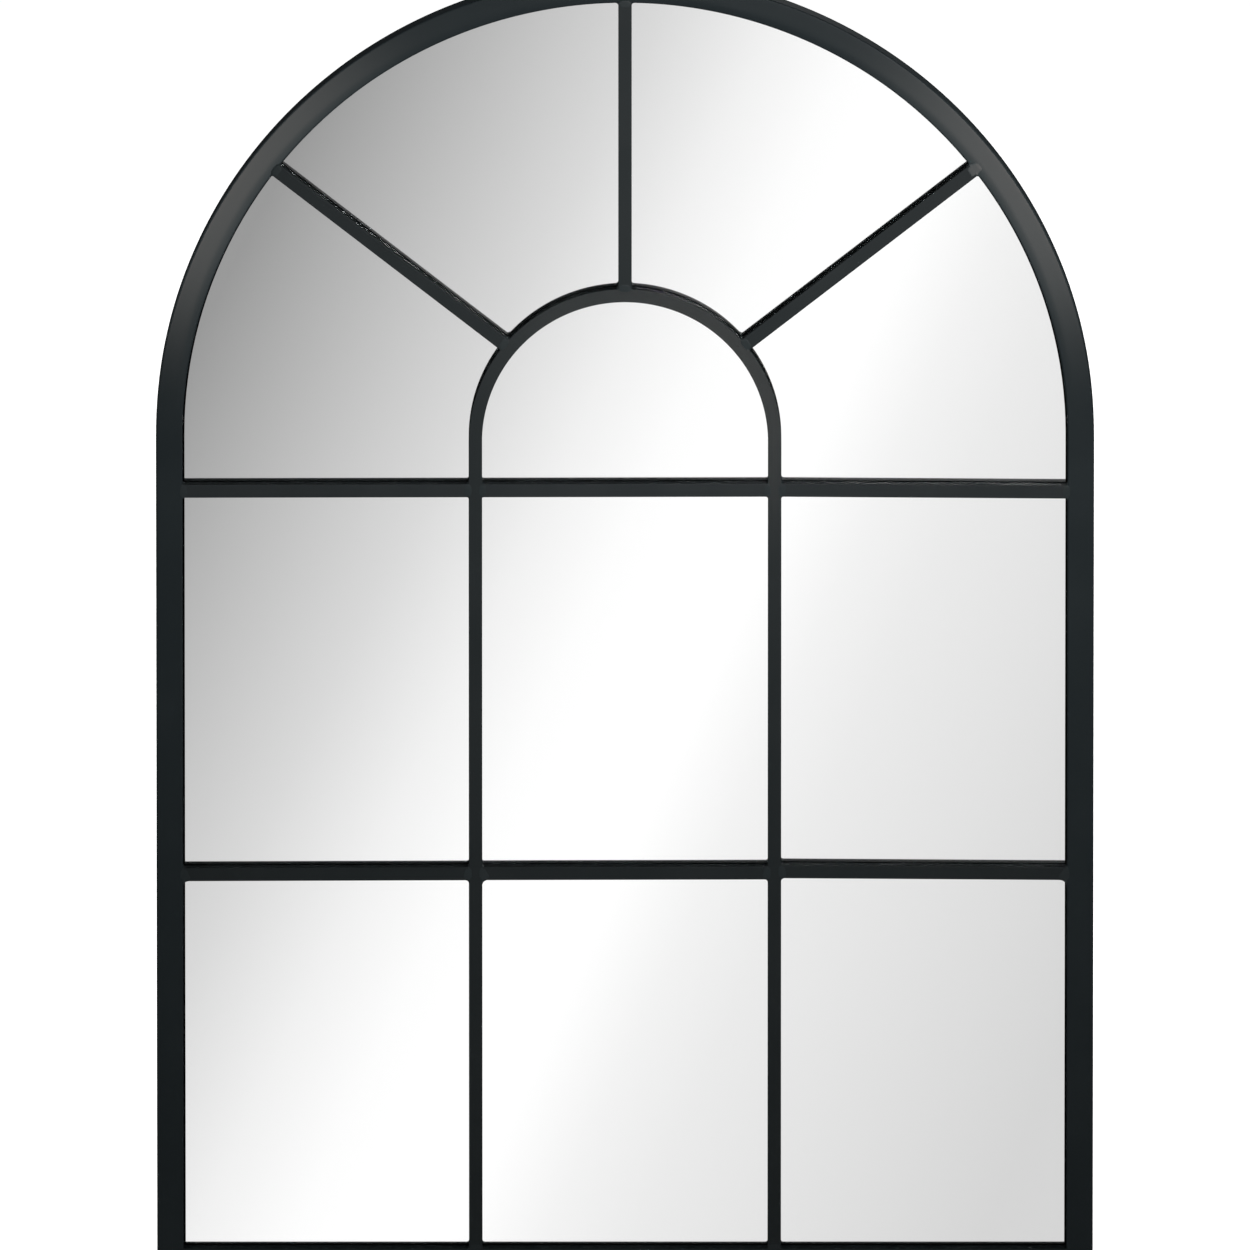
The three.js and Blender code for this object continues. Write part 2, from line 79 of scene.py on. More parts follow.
# --- Studio floor and air ----------------------------------------------------------------------
# A wide white floor that takes the mirror's soft shadow. In front of the mirror it also glows, for rays
# off the glass and the metal only, with a painted reflection from grey through a bright diagonal ridge to
# pale grey.
class Shade:
    """One output of a node tree. Arithmetic on it adds Math nodes."""

    def __init__(self, tree, socket=None):
        self.tree = tree
        self.socket = socket

    def node(self, kind, settings=None, inputs=None, output=0):
        """A new node: its settings are made first, then its sockets get values or links."""
        made = self.tree.nodes.new("ShaderNode" + kind)
        for name, value in (settings or {}).items():
            if name == "stops":
                set_stops(made.color_ramp, value)
            else:
                setattr(made, name, value)
        for name, value in (inputs or {}).items():
            self.feed(made.inputs[name], value)
        return Shade(self.tree, made.outputs[output] if len(made.outputs) else None)

    def feed(self, target, value):
        if isinstance(value, Shade):
            self.tree.links.new(value.socket, target)
        else:
            target.default_value = value

    def maths(self, operation, first, second=0.0):
        return self.node("Math", {"operation": operation}, {0: first, 1: second})

    def __add__(self, other):
        return self.maths("ADD", self, other)

    __radd__ = __add__

    def __sub__(self, other):
        return self.maths("SUBTRACT", self, other)

    def __rsub__(self, other):
        return self.maths("SUBTRACT", other, self)

    def __mul__(self, other):
        return self.maths("MULTIPLY", self, other)

    __rmul__ = __mul__

    def __truediv__(self, other):
        return self.maths("DIVIDE", self, other)

    def __gt__(self, other):
        return self.maths("GREATER_THAN", self, other)

    def __lt__(self, other):
        return self.maths("LESS_THAN", self, other)

    def larger(self, other):
        return self.maths("MAXIMUM", self, other)

    def smooth(self, low, high):
        """0 below low, 1 above high and a soft step between."""
        settings = {"interpolation_type": "SMOOTHSTEP"}
        return self.node("MapRange", settings, {0: self, 1: low, 2: high})

    def between(self, first, second):
        """The first colour where this is 0, the second where it is 1 and a mix between."""
        ends = {"Factor": self, 6: (*first, 1), 7: (*second, 1)}
        return self.node("Mix", {"data_type": "RGBA"}, ends, 2)

    def speckle(self, scale, detail, **more):
        """Noise over this place, finer with a larger scale."""
        return self.node("TexNoise", None, {"Vector": self, "Scale": scale, "Detail": detail, **more})


def set_stops(ramp, stops):
    while len(ramp.elements) < len(stops):
        ramp.elements.new(1.0)
    for element, (position, colour) in zip(ramp.elements, stops):
        element.position = position
        element.color = (*colour, 1)


def empty_tree(owner):
    """The start of the nodes of a material or a world."""
    owner.use_nodes = True
    owner.node_tree.nodes.clear()
    return Shade(owner.node_tree)


def material_tree(name):
    material = bpy.data.materials.new(name)
    return material, empty_tree(material)


def ray_kinds(start):
    """Whether a ray comes from the camera, and whether it comes off metal or through glass."""
    by_camera = start.node("LightPath", None, None, "Is Camera Ray")
    by_gloss = start.node("LightPath", None, None, "Is Glossy Ray")
    by_glass = start.node("LightPath", None, None, "Is Transmission Ray")
    return by_camera, by_gloss.larger(by_glass)


def linear(level):
    """Linear light of a grey level from 0 to 255 on screen."""
    share = level / 255
    return share / 12.92 if share <= 0.04045 else ((share + 0.055) / 1.055) ** 2.4


def grey(level):
    return (linear(level),) * 3


FLOOR_HALF = 12.0
FLOOR_DROP = 0.2 * MM
FLOOR_COLOUR = 0.86
FLOOR_GLOW = 0.90
# painted reflection: level on screen against the distance along it, in pixels of the picture
PAINTED_REFLECTION_TILT = math.radians(25)
PAINTED_REFLECTION_STOPS = (
    (280, 152),
    (580, 215),
    (700, 239),
    (790, 251),
    (860, 255),
    (930, 255),
    (1020, 241),
    (1100, 233),
    (1420, 211),
)
MIRROR_LOSS = 0.94


def floor_material():
    material, start = material_tree("studio_floor")
    place = start.node("NewGeometry")
    across = start.node("SeparateXYZ", None, {0: place})
    away = start.node("SeparateXYZ", None, {0: place}, 1)
    # a floor point shows in the glass at this column and row of the picture
    column = across / PHOTO_METRES_PER_PIXEL + PHOTO_SIDE / 2
    height = (front_y - away) * math.tan(CAMERA_ELEVATION)
    row = PHOTO_FOOT_PIXEL - height * (math.cos(CAMERA_ELEVATION) / PHOTO_METRES_PER_PIXEL)
    along = column * math.cos(PAINTED_REFLECTION_TILT) + row * math.sin(PAINTED_REFLECTION_TILT)
    first = PAINTED_REFLECTION_STOPS[0][0]
    span = PAINTED_REFLECTION_STOPS[-1][0] - first
    stops = [((spot - first) / span, grey(level)) for spot, level in PAINTED_REFLECTION_STOPS]
    # painted reflection: the floor glows in this grey ramp, seen only off the glass and the metal
    painted_reflection = start.node("ValToRGB", {"stops": stops}, {0: (along - first) / span})
    painted_reflection_glow = start.node("Emission", None, {"Color": painted_reflection, "Strength": 1 / MIRROR_LOSS})
    by_camera, reflected = ray_kinds(start)
    matt = start.node("BsdfDiffuse", None, {"Color": (*(FLOOR_COLOUR,) * 3, 1)})
    white = start.node("Emission", None, {"Strength": FLOOR_GLOW})
    lit_white = start.node("AddShader", None, {0: matt, 1: white})
    plain = start.node("MixShader", None, {0: by_camera.larger(reflected), 1: matt, 2: lit_white})
    in_front = reflected * (away < front_y)
    mixed = start.node("MixShader", None, {0: in_front, 1: plain, 2: painted_reflection_glow})
    start.node("OutputMaterial", None, {0: mixed})
    return material


def mesh_object(name, vertices, faces, materials, smooth_angle=40):
    """A mesh with its faces turned outwards, smooth but for edges sharper than the angle."""
    mesh = bpy.data.meshes.new(name)
    mesh.from_pydata([tuple(v) for v in vertices], [], faces)
    work = bmesh.new()
    work.from_mesh(mesh)
    bmesh.ops.recalc_face_normals(work, faces=work.faces)
    work.to_mesh(mesh)
    work.free()
    for material in materials:
        mesh.materials.append(material)
    mesh.shade_smooth()
    mesh.set_sharp_from_angle(angle=math.radians(smooth_angle))
    made = bpy.data.objects.new(name, mesh)
    bpy.context.scene.collection.objects.link(made)
    return made


floor_z = foot_z - FLOOR_DROP
corner_sides = ((-1, -1), (1, -1), (1, 1), (-1, 1))
floor_corners = [(x * FLOOR_HALF, y * FLOOR_HALF, floor_z) for x, y in corner_sides]
floor = mesh_object("studio_floor", floor_corners, [(0, 1, 2, 3)], [floor_material()])

AIR_LIGHT = 0.13
AIR_LIGHT_ABOVE = 0.05
CEILING_LIGHT = 0.35
# upward part of a ray's direction where the change to the air above and to the ceiling runs
AIR_RISE = (0.05, 0.6)
CEILING_RISE = (0.12, 0.5)


def studio_air():
    """White all round at eye level and a dimmer ceiling, with less light on matt surfaces."""
    world = bpy.data.worlds.new("studio_air")
    bpy.context.scene.world = world
    start = empty_tree(world)
    direction = start.node("TexCoord", None, None, "Generated")
    height = start.node("SeparateXYZ", None, {0: direction}, 2)
    wall = 1 - height.smooth(*CEILING_RISE) * (1 - CEILING_LIGHT)
    by_camera, reflected = ray_kinds(start)
    soft = AIR_LIGHT - height.smooth(*AIR_RISE) * (AIR_LIGHT - AIR_LIGHT_ABOVE)
    seen = soft + reflected * (wall - soft)
    strength = seen.larger(by_camera)
    air = start.node("Background", None, {"Color": (1, 1, 1, 1), "Strength": strength})
    start.node("OutputWorld", None, {0: air})


studio_air()

# --- Lamps -------------------------------------------------------------------------------------
# A soft lamp in front lights the middle most and another lights the back. Three spots pick out the
# bent shoulders of the two arches, whose faces catch the light, and each lights its own arch.
LAMPS = {
    "front_fill": {"at": (0.36, -1.5, 0.4), "to": (0.02, 0, 0.07), "watts": 1.9, "side": 0.5, "spread": 55},
    "back_fill": {"at": (0.9, 3.0, 2.2), "to": (0, 0, -0.1), "watts": 90, "side": 1.6, "spread": 180},
}
SPOTS = {
    "shoulder_left": {"at": (-0.5, -1.25, 0.0), "to": (-0.280, -0.026, 0.197), "cone": 15, "watts": 72},
    "shoulder_right": {"at": (0.5, -1.25, 0.02), "to": (0.280, -0.026, 0.188), "cone": 13.5, "watts": 71},
    "small_arch": {"at": (0.3, -1.3, -0.12), "to": (0.05, -0.026, 0.05), "cone": 15.5, "watts": 28},
}
SPOT_COLOUR = (1.0, 0.87, 0.80)
SPOT_RADIUS = 0.05


def aim_lamp(name, data, place, target):
    made = bpy.data.objects.new(name, data)
    made.location = place
    direction = Vector(target) - Vector(place)
    made.rotation_euler = direction.to_track_quat("-Z", "Y").to_euler()
    made.visible_camera = False
    bpy.context.scene.collection.objects.link(made)
    return made


for name, lamp in LAMPS.items():
    data = bpy.data.lights.new(name, "AREA")
    data.energy = lamp["watts"]
    data.size = lamp["side"]
    data.spread = math.radians(lamp["spread"])
    aim_lamp(name, data, lamp["at"], lamp["to"])

bend_lamps = {}
for name, lamp in SPOTS.items():
    data = bpy.data.lights.new(name, "SPOT")
    data.energy = lamp["watts"]
    data.color = SPOT_COLOUR
    data.spot_size = math.radians(lamp["cone"])
    data.spot_blend = 1.0
    data.shadow_soft_size = SPOT_RADIUS
    bend_lamps[name] = aim_lamp(name, data, lamp["at"], lamp["to"])


# --- Outer arch and bottom rail ----------------------------------------------------------------
# One 20 mm square steel tube bent into both legs and the arch, and a rail mitred to its feet. The
# mitres are ground flush and the whole frame is powder-coated satin black.
TUBE_CORNER = 1.3 * MM
ARCH_STEPS = 144
CORNER_STEPS = 6
FACE_STEPS = 10
EDGE_LOOP = 0.25 * MM
# the outer side wavers by this much, in so many waves to a metre
WAVER = 0.05 * MM
WAVER_SCALE = 9
# the faces lie this much behind the welds, which are ground level with the box's front
WELD_PROUD = 0.08 * MM
# how far a bent face falls back towards its inner and outer edge, and where each fall starts
FALL_INSIDE = 0.55 * MM
FALL_OUTSIDE = 0.03 * MM
FALL_INSIDE_START = 3.0 * MM
FALL_OUTSIDE_START = 5.5 * MM
BEND_RUN_IN = math.radians(14)
# the coat's slow drift, its orange peel and its grain, in waves to a metre
DRIFT_SCALE = 14
PEEL_SCALE = 750
GRAIN_SCALE = 3200
PEEL_DEPTH = 0.1 * MM
SHEEN_GREY = (0.9, 0.9, 0.9, 1)
FRAME_BLACK = (0.0145, 0.0209, 0.0236)
FRAME_BLACK_LIGHT = (0.0188, 0.0256, 0.0284)

tube = tube_high.y - tube_low.y
outer_radius = tube_high.x
inner_radius = outer_radius - tube
tube_y = (tube_low.y + tube_high.y) / 2


def piece_material(name):
    """A material, the start of its nodes and the place on the piece in metres."""
    material, start = material_tree(name)
    return material, start, start.node("TexCoord", None, None, "Object")


def powder_coat(name, dark, light, roughness, sheen):
    """Satin powder coat: a fine orange peel, and a slow drift in tone and gloss. The sheen is the
    share of light that the coat throws back, the same from every side."""
    material, start, place = piece_material(name)
    drift = place.speckle(DRIFT_SCALE, 3)
    peel = place.speckle(PEEL_SCALE, 2, Roughness=0.6)
    grain = place.speckle(GRAIN_SCALE, 1)
    tone = drift.smooth(0.35, 0.65) * 0.7 + grain * 0.3
    colour = tone.between(dark, light)
    gloss = roughness - 0.05 + drift * 0.10
    relief = peel + grain * 0.3
    skin = start.node("Bump", None, {"Strength": 0.12, "Distance": PEEL_DEPTH, "Height": relief})
    settings = {"Base Color": colour, "Roughness": 0.9, "Specular IOR Level": 0.0, "Normal": skin}
    body = start.node("BsdfPrincipled", None, settings)
    settings = {"Base Color": SHEEN_GREY, "Metallic": 1.0, "Roughness": gloss, "Normal": skin}
    shine = start.node("BsdfPrincipled", None, settings)
    coat = start.node("MixShader", None, {0: sheen, 1: body, 2: shine})
    start.node("OutputMaterial", None, {0: coat})
    return material


frame_paint = powder_coat(
    "frame_powder_coat", FRAME_BLACK, FRAME_BLACK_LIGHT, roughness=0.42, sheen=0.0085
)


def square_section(size, corner):
    """Round-cornered square as (outwards, forwards) points, with a loop close to each corner."""
    flat = size / 2 - corner
    points = []
    for quarter in range(4):
        turn = quarter * math.pi / 2
        middle = Vector((math.cos(turn + math.pi / 4), math.sin(turn + math.pi / 4))) * flat * math.sqrt(2)
        before = Vector((math.cos(turn), math.sin(turn)))
        after = Vector((-before.y, before.x))
        points.append(middle + before * corner - after * EDGE_LOOP)
        for step in range(CORNER_STEPS + 1):
            angle = step / CORNER_STEPS * math.pi / 2
            points.append(middle + before * corner * math.cos(angle) + after * corner * math.sin(angle))
        points.append(middle + after * corner - before * EDGE_LOOP)
        if quarter == 0:
            # the front face, from its outer to its inner edge
            for step in range(1, FACE_STEPS):
                points.append(Vector((flat * (1 - 2 * step / FACE_STEPS), size / 2)))
    return [Vector((out, ahead - WELD_PROUD if ahead > 0 else ahead)) for out, ahead in points]


def face_fall(out):
    """How far a bent tube's front lies back at a point this far out from the tube's middle."""
    flat = tube / 2 - TUBE_CORNER
    if out < -FALL_INSIDE_START:
        return FALL_INSIDE * ((-out - FALL_INSIDE_START) / (flat - FALL_INSIDE_START)) ** 2
    if out > FALL_OUTSIDE_START:
        return FALL_OUTSIDE * ((out - FALL_OUTSIDE_START) / (flat - FALL_OUTSIDE_START)) ** 2
    return 0.0


def ring_faces(count, rings):
    """Faces of a closed bar made of rings of this many points: its sides, then its two ends."""
    faces = []
    for base in range(0, (rings - 1) * count, count):
        for column in range(count):
            beside = (column + 1) % count
            faces.append((base + column, base + beside, base + count + beside, base + count + column))
    last = (rings - 1) * count
    faces.append(tuple(range(count)))
    faces.append(tuple(last + column for column in reversed(range(count))))
    return faces


def sweep(section, stations, bends=None, waver=WAVER):
    """Vertices and faces of a closed bar: the section is set at each (origin, outwards, forwards).
    Where the bar is bent, from 0 for straight to 1, its front falls away to both edges."""
    vertices = []
    for row, (origin, outwards, forwards) in enumerate(stations):
        bend = bends[row] if bends else 0.0
        for out, ahead in section:
            fall = face_fall(out) * bend if ahead > 0 else 0.0
            spot = origin + outwards * out + forwards * (ahead - fall)
            ripple = abs(noise.noise(spot * WAVER_SCALE)) * waver if out > 0 else 0.0
            vertices.append(spot - outwards.normalized() * ripple)
    return vertices, ring_faces(len(section), len(stations))


FORWARDS = Vector((0, -1, 0))
LEG_STEPS = 24


def arch_stations(radius, centre_z, foot, y, steps, foot_slope=0.0):
    """Stations up the left leg, round the arch and down the right leg. A foot_slope of 1 cuts the
    feet on a 45 degree mitre."""
    legs = []
    for side, rows in ((-1, range(LEG_STEPS)), (1, reversed(range(LEG_STEPS)))):
        leg = []
        for row in rows:
            z = foot + (centre_z - foot) * row / LEG_STEPS
            outwards = Vector((side, 0, -foot_slope if row == 0 else 0))
            leg.append((Vector((side * radius, y, z)), outwards, FORWARDS))
        legs.append(leg)
    arc = []
    for step in range(steps + 1):
        angle = math.pi * (1 - step / steps)
        outwards = Vector((math.cos(angle), 0, math.sin(angle)))
        arc.append((Vector((0, y, centre_z)) + outwards * radius, outwards, FORWARDS))
    return legs[0] + arc + legs[1]


def steel_piece(name, vertices, faces, material, *nodes):
    made = mesh_object(name, vertices, faces, [material])
    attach(made, "frame")
    if nodes:
        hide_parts(*nodes)
    return made


tube_section = square_section(tube, TUBE_CORNER)
leg_x = outer_radius - tube / 2
rail_z = foot_z + tube / 2
arch = arch_stations(leg_x, 0, rail_z, tube_y, ARCH_STEPS, 1.0)
bends = []
for origin, outwards, forwards in arch:
    run = min(1.0, max(0.0, math.asin(max(0.0, min(1.0, origin.z / leg_x))) / BEND_RUN_IN))
    bends.append(run * run * (3 - 2 * run))
arch_mesh = sweep(tube_section, arch, bends)
arch_piece = steel_piece("frame_arch", *arch_mesh, frame_paint, "outer_arch_tube")
arch_alone = bpy.data.collections.new("arch_alone")
arch_alone.objects.link(arch_piece)
for name in ("shoulder_left", "shoulder_right"):
    bend_lamps[name].light_linking.receiver_collection = arch_alone

rail_stations = []
for step in range(LEG_STEPS + 1):
    x = -leg_x + 2 * leg_x * step / LEG_STEPS
    lean = {0: 1.0, LEG_STEPS: -1.0}.get(step, 0.0)
    rail_stations.append((Vector((x, tube_y, rail_z)), Vector((lean, 0, 1)), FORWARDS))
steel_piece("frame_rail", *sweep(tube_section, rail_stations), frame_paint, "bottom_rail_tube")

# --- Bars in front of the glass ----------------------------------------------------------------
# Solid 10 mm square bar: the small arch with its two uprights, two rows of three short level bars
# and three spokes. The level bars sit a hair off true, as hand-welded ones do.
BAR_CORNER = 0.35 * MM
BAR_BLACK = (0.0152, 0.0198, 0.0212)
BAR_BLACK_LIGHT = (0.0200, 0.0246, 0.0260)
# painted light: the upper row's coat is a lighter, glossier copy of the bars' coat, for the stronger light
# on that row
UPPER_LIT_BLACK = (0.0176, 0.0222, 0.0240)
UPPER_LIT_BLACK_LIGHT = (0.0232, 0.0278, 0.0298)
SMALL_ARCH_STEPS = 96
STRAIGHT_STEPS = 16
# how far the left and right ends stand above their true height, in millimetres
BAR_ENDS = {
    "upper_bar_left": (-0.3, 0.1),
    "upper_bar_centre": (0.1, 0.5),
    "upper_bar_right": (0.5, -0.9),
    "lower_bar_left": (-1.0, -0.3),
    "lower_bar_centre": (-0.2, 0.3),
    "lower_bar_right": (1.3, -0.1),
}

bar_paint = powder_coat("bar_powder_coat", BAR_BLACK, BAR_BLACK_LIGHT, roughness=0.45, sheen=0.0085)
# painted light: a lighter copy of the bars' coat for the upper row
upper_lit_paint = powder_coat(
    "upper_bar_lit_powder_coat", UPPER_LIT_BLACK, UPPER_LIT_BLACK_LIGHT, roughness=0.45, sheen=0.0105
)
small_low, small_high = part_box("inner_arch_bar")
bar = small_high.y - small_low.y
bar_y = (small_low.y + small_high.y) / 2
small_outer = small_high.x
small_centre_z = small_high.z - small_outer
bar_section = square_section(bar, BAR_CORNER)

uprights = arch_stations(small_outer - bar / 2, small_centre_z, foot_z + tube, bar_y, SMALL_ARCH_STEPS)
small_arch = steel_piece("small_arch", *sweep(bar_section, uprights), bar_paint, "inner_arch_bar")
small_arch_alone = bpy.data.collections.new("small_arch_alone")
small_arch_alone.objects.link(small_arch)
bend_lamps["small_arch"].light_linking.receiver_collection = small_arch_alone

for node, (left_rise, right_rise) in BAR_ENDS.items():
    low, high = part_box(node)
    stations = []
    for step in range(STRAIGHT_STEPS + 1):
        share = step / STRAIGHT_STEPS
        rise = (left_rise + (right_rise - left_rise) * share) * MM
        x = low.x + (high.x - low.x) * share
        middle = Vector((x, bar_y, (low.z + high.z) / 2 + rise))
        stations.append((middle, Vector((0, 0, 1)), FORWARDS))
    # painted light: the upper row takes the lighter copy of the coat
    paint = upper_lit_paint if node.startswith("upper") else bar_paint
    steel_piece("level_" + node, *sweep(bar_section, stations), paint, node)

WELD_GAP = 0.3 * MM


def spoke_mesh(angle):
    """A bar along a ray of the large arch, its ends following the small and the large arch."""
    ray = Vector((math.cos(angle), 0, math.sin(angle)))
    side = Vector((-ray.z, 0, ray.x))
    drop = Vector((0, 0, small_centre_z))
    vertices = []
    for step in range(STRAIGHT_STEPS + 1):
        share = step / STRAIGHT_STEPS
        for out, ahead in bar_section:
            offset = side * out
            # where this edge of the bar leaves the small arch and meets the large one
            reach = (offset - drop).dot(ray)
            inner = (small_outer + WELD_GAP) ** 2 - (offset - drop).length_squared
            start = -reach + math.sqrt(reach**2 + inner)
            end = math.sqrt((inner_radius - WELD_GAP) ** 2 - out**2)
            along = start + (end - start) * share
            vertices.append(ray * along + offset + Vector((0, bar_y - ahead, 0)))
    return vertices, ring_faces(len(bar_section), STRAIGHT_STEPS + 1)


SPOKE_ANGLES = {"spoke_right": 38, "spoke_centre": 90, "spoke_left": 142}
for node, degrees in SPOKE_ANGLES.items():
    steel_piece("bar_" + node, *spoke_mesh(math.radians(degrees)), bar_paint, node)

# --- Welds -------------------------------------------------------------------------------------
# Each bar's end is welded all round: a small hollow fillet in both corners and a ground cap over
# the seam at the front. Their coat is painted a shade lighter than the frame's, a painted highlight
# for the light the welds catch. The right-hand spoke's outer cap has run out wide.
WELD_HIGHLIGHT_BLACK = (0.0180, 0.0250, 0.0270)
WELD_HIGHLIGHT_BLACK_LIGHT = (0.0280, 0.0350, 0.0370)
# a cap's rings in shares of its outline, and how far its rim sinks into the steel
WELD_RINGS = (1.0, 0.94, 0.86, 0.74, 0.58, 0.36)
WELD_SINK = 0.1 * MM
# the middle of a weld along the bar, and how far its back lies in front of the bar's
WELD_HEART = 0.8 * MM
WELD_BACK = 0.1 * MM
WOBBLE_SCALE = 420
RIPPLE_SCALE = 700
RIPPLE_DEPTH = 0.06 * MM
# a cap's end on the frame, in shares of its reach and of the bar's half width, and the share of
# that width where it runs onto the bar
CAP_END = ((1.0, 0.45), (0.8, 0.8), (0.35, 1.0))
CAP_WIDTH = 0.99
# how far a fillet laps onto the frame, how deep it lies there and how deep its hollow starts
FILLET_LAP = 0.5 * MM
FILLET_LAP_DEPTH = TUBE_CORNER * 0.9
FILLET_DEPTH = TUBE_CORNER * 0.8
FILLET_STEPS = 6
END_STEPS = 6
# reach over the frame's face and over the bar, width left at the tip, the flat share, unevenness
SEAM = {"on_frame": 2.6 * MM, "on_bar": 2.2 * MM, "tip": 0.35, "flat": 0.66, "uneven": 0.22 * MM}
RUN_OUT_SEAM = {"on_frame": 6.5 * MM, "on_bar": 3.4 * MM, "tip": 0.6, "flat": 0.6, "uneven": 1.3 * MM}

# painted highlight: a lighter copy of the frame's coat for the welds
weld_highlight_paint = powder_coat(
    "weld_highlight_powder_coat", WELD_HIGHLIGHT_BLACK, WELD_HIGHLIGHT_BLACK_LIGHT, roughness=0.42, sheen=0.0095
)


def corner_depth(inset, corner):
    """How far a rounded edge lies behind the front at this distance from the side."""
    if inset >= corner:
        return WELD_PROUD
    return WELD_PROUD + corner - math.sqrt(corner**2 - (corner - inset) ** 2)


def leg_depth(inset):
    return corner_depth(inset, TUBE_CORNER)


def upright_depth(inset):
    return corner_depth(inset, BAR_CORNER)


def arch_depth(inset):
    return corner_depth(inset, TUBE_CORNER) + face_fall(inset - tube / 2)


def weld_outline(fillets, seam, depth_at):
    """Plan of a weld: x runs along the bar from the frame's face and y across it. The third value
    is how far the rim lies behind the front."""
    half = bar / 2
    on_frame = seam["on_frame"]
    flanks = []
    for side, fillet in zip((1, -1), fillets):
        flank = []
        for share, across in CAP_END:
            depth = depth_at(on_frame * share) + WELD_SINK
            flank.append((-on_frame * share, side * half * across, depth))
        flank.append((-FILLET_LAP, side * (half + fillet), FILLET_LAP_DEPTH))
        for step in range(FILLET_STEPS + 1):
            angle = math.pi + step / FILLET_STEPS * math.pi / 2
            x = fillet * (1 + math.cos(angle))
            y = half + fillet * (1 + math.sin(angle))
            depth = FILLET_DEPTH + (BAR_CORNER - FILLET_DEPTH) * step / FILLET_STEPS
            flank.append((x, side * y, depth))
        for step in range(1, END_STEPS):
            angle = step / END_STEPS * math.pi / 2
            x = fillet + seam["on_bar"] * math.sin(angle)
            y = half * (seam["tip"] + (CAP_WIDTH - seam["tip"]) * math.cos(angle))
            depth = WELD_PROUD + WELD_SINK + BAR_CORNER * math.cos(angle)
            flank.append((x, side * y, depth))
        flanks.append(flank)
    return flanks[0] + flanks[1][::-1]


def weld(name, face, along, seed, fillets=(1.6, 1.6), seam=SEAM, depth_at=leg_depth, paint=weld_highlight_paint):
    """A weld where a bar meets a face of the frame or of an upright at a point, along being the
    bar's way out."""
    across = Vector((-along.z, 0, along.x))
    if across.z < 0:
        across = -across
    outline = weld_outline([fillet * MM for fillet in fillets], seam, depth_at)
    heart = Vector((WELD_HEART, 0))
    vertices = []
    for ring in WELD_RINGS:
        rounding = max(0.0, (ring - seam["flat"]) / (1 - seam["flat"])) ** 2
        for x, y, depth in outline:
            wobble = noise.noise(Vector((x, y, 0)) * WOBBLE_SCALE + Vector((seed, seed * 0.7, 3)))
            spot = heart + (Vector((x, y)) - heart) * ring * (1 + wobble * seam["uneven"] / bar)
            ripple = noise.noise(Vector((spot.x, spot.y, 0)) * RIPPLE_SCALE + Vector((0, seed, seed)))
            level = depth * rounding + abs(ripple) * RIPPLE_DEPTH
            place = face + along * spot.x + across * spot.y
            vertices.append(Vector((place.x, front_y + level, place.z)))
    count = len(outline)
    rings = len(WELD_RINGS)
    heart_place = face + along * heart.x
    vertices.append(Vector((heart_place.x, front_y, heart_place.z)))
    heart_index = len(vertices) - 1
    for x, y, _ in outline:
        place = face + along * x + across * y
        vertices.append(Vector((place.x, front_y + bar - WELD_BACK, place.z)))
    back = heart_index + 1
    faces = []
    for column in range(count):
        beside = (column + 1) % count
        for ring in range(rings - 1):
            outer, inner = ring * count, (ring + 1) * count
            faces.append((outer + column, outer + beside, inner + beside, inner + column))
        last = (rings - 1) * count
        faces.append((last + column, last + beside, heart_index))
        faces.append((column, beside, back + beside, back + column))
    faces.append(tuple(back + column for column in range(count)))
    return steel_piece(name, vertices, faces, paint)


upright_face = small_outer - bar
# fillets above and below the bar, in millimetres, as the photograph shows them at each end
WELD_FILLETS = {
    "upper_left": ((1.6, 1.8), (1.4, 1.6)),
    "upper_centre": ((1.3, 1.2), (1.2, 1.9)),
    "upper_right": ((1.9, 1.5), (1.3, 1.8)),
    "lower_left": ((1.5, 4.2), (1.4, 2.6)),
    "lower_centre": ((1.2, 4.2), (1.4, 2.4)),
    "lower_right": ((1.4, 2.6), (1.5, 5.4)),
}
# where the level bars of each column start and end
BAR_SPANS = {
    "left": (-inner_radius, -small_outer),
    "centre": (-upright_face, upright_face),
    "right": (small_outer, inner_radius),
}
RIGHT = Vector((1, 0, 0))
seed = 1.0
for row in ("upper", "lower"):
    low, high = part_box(row + "_bar_left")
    z = (low.z + high.z) / 2
    for column, ends in BAR_SPANS.items():
        label = "weld_" + row + "_" + column
        rises = BAR_ENDS[row + "_bar_" + column]
        fillets = WELD_FILLETS[row + "_" + column]
        for end, way in ((0, RIGHT), (1, -RIGHT)):
            face = Vector((ends[end], 0, z + rises[end] * MM))
            at_leg = abs(ends[end]) > small_outer
            surface = leg_depth if at_leg else upright_depth
            weld(label + "_" + "ab"[end], face, way, seed + end / 2, fillets[end], SEAM, surface)
        seed += 1.0

for node, degrees in SPOKE_ANGLES.items():
    angle = math.radians(degrees)
    ray = Vector((math.cos(angle), 0, math.sin(angle)))
    lift = small_centre_z * ray.z
    reach = lift + math.sqrt(lift**2 + small_outer**2 - small_centre_z**2)
    weld("weld_" + node + "_in", ray * reach, ray, seed, (1.9, 1.4), SEAM, upright_depth)
    face = ray * inner_radius
    ran_out = node == "spoke_right"
    seam, paint = (RUN_OUT_SEAM, frame_paint) if ran_out else (SEAM, weld_highlight_paint)
    outer = weld("weld_" + node + "_out", face, -ray, seed + 0.5, (1.8, 1.6), seam, arch_depth, paint)
    if ran_out:
        # it shines as the arch does, under the same spots
        arch_alone.objects.link(outer)
    seed += 1.0

